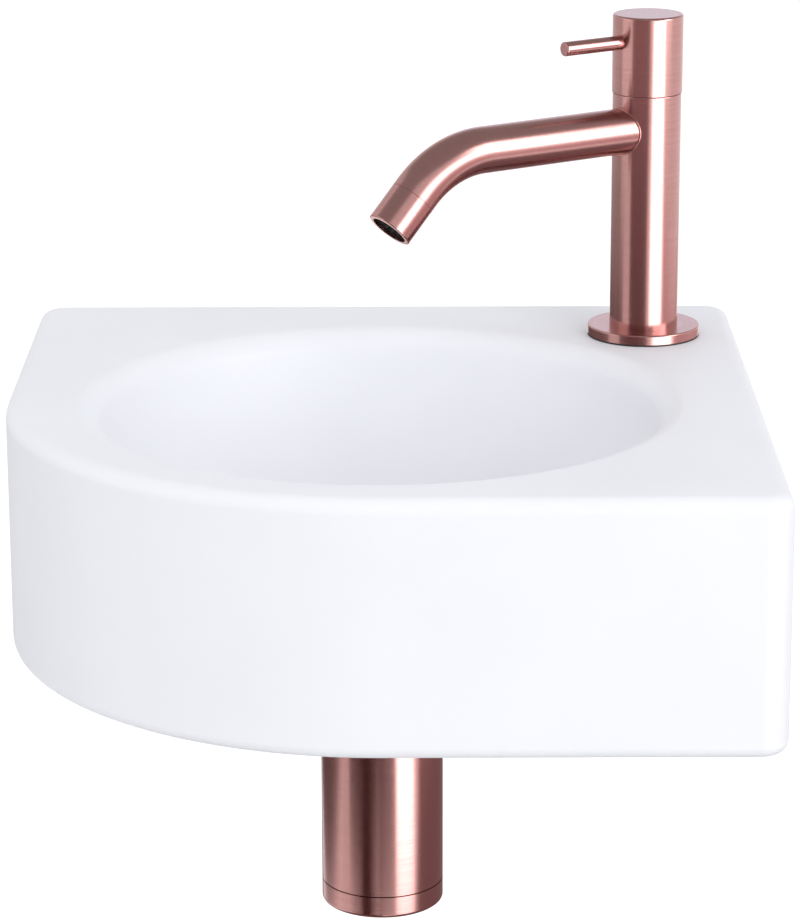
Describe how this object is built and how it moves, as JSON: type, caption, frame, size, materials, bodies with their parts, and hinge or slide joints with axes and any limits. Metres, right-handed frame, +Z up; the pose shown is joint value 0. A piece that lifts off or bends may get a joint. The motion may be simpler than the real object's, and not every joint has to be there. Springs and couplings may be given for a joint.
{
  "type": "hand basin with tap",
  "caption": "Small wall-hung hand basin of white glazed ceramic with one rounded front corner, a copper-coloured pillar tap with lever handle, and a bottle trap.",
  "frame": {"origin": "midway between the two wall fixing holes, on the basin's flat back face", "axes": "+Z up, +Y into the wall, so the front looks toward -Y and +X is to the right seen from the front"},
  "size_m": [0.3, 0.34, 0.3486],
  "materials": {
    "glazed_fireclay": "white gloss glaze",
    "copper_finish": "brushed rose copper coat on brass",
    "raw_brass": "turned brass",
    "steel": "stainless",
    "black_rubber": "matt rubber",
    "white_plastic": "plain moulding",
    "grey_plastic": "plain moulding",
    "valve_ceramic": "lapped"
  },
  "bodies": {
    "basin_assembly": {"basin": "glazed_fireclay", "tap_base_gasket": "black_rubber", "tap_base_flange": "copper_finish", "tap_body": "copper_finish", "spout_tube": "copper_finish", "spout_outlet_sleeve": "copper_finish", "aerator": "grey_plastic", "aerator_seal": "black_rubber", "headwork_seat_seal": "black_rubber", "headwork_body": "raw_brass", "fixed_ceramic_disc": "valve_ceramic", "tap_shank": "raw_brass", "tap_rubber_washer": "black_rubber", "tap_steel_washer": "steel", "tap_back_nut": "raw_brass", "waste_top_gasket": "black_rubber", "waste_body": "copper_finish", "drain_cap": "copper_finish", "drain_cap_stud": "raw_brass", "waste_rubber_washer": "black_rubber", "waste_slip_washer": "white_plastic", "waste_back_nut": "raw_brass", "trap_union_nut": "copper_finish", "trap_union_gasket": "black_rubber", "trap_dip_tube": "copper_finish", "trap_top_nut": "copper_finish", "trap_top_seal": "black_rubber", "trap_body": "copper_finish", "trap_outlet_nut": "copper_finish", "trap_outlet_seal": "black_rubber", "trap_outlet_pipe": "copper_finish"},
    "handle": {"handle_cap": "copper_finish", "lever_rod": "copper_finish", "handle_grub_screw": "steel", "spindle": "raw_brass", "spindle_seals": "black_rubber", "spindle_clip": "steel", "turning_ceramic_disc": "valve_ceramic"},
    "cup_ring": {"trap_cup_ring": "black_rubber"},
    "cup": {"trap_cup": "copper_finish"},
    "rosette": {"wall_rosette": "copper_finish", "rosette_ring": "black_rubber"}
  },
  "joints": [
    {"name": "tap_handle_turn", "type": "hinge", "parent": "basin_assembly", "child": "handle", "pos_m": [0.11, -0.0545, 0.16], "axis": [0, 0, 1], "range_deg": [0, 90]},
    {"name": "trap_cup_drop", "type": "slide", "parent": "basin_assembly", "child": "cup_ring", "axis": [0, 0, -1], "range_m": [0, 0.0091]},
    {"name": "trap_cup_turn", "type": "hinge", "parent": "cup_ring", "child": "cup", "pos_m": [-0.001, -0.16, -0.16], "axis": [0, 0, -1], "range_deg": [0, 1080]},
    {"name": "wall_rosette_slide", "type": "slide", "parent": "basin_assembly", "child": "rosette", "axis": [0, -1, 0], "range_m": [0, 0.06]}
  ],
  "couplings": [
    {"joint": "trap_cup_drop", "follows": "trap_cup_turn", "m_per_rad": 0.00047746}
  ]
}
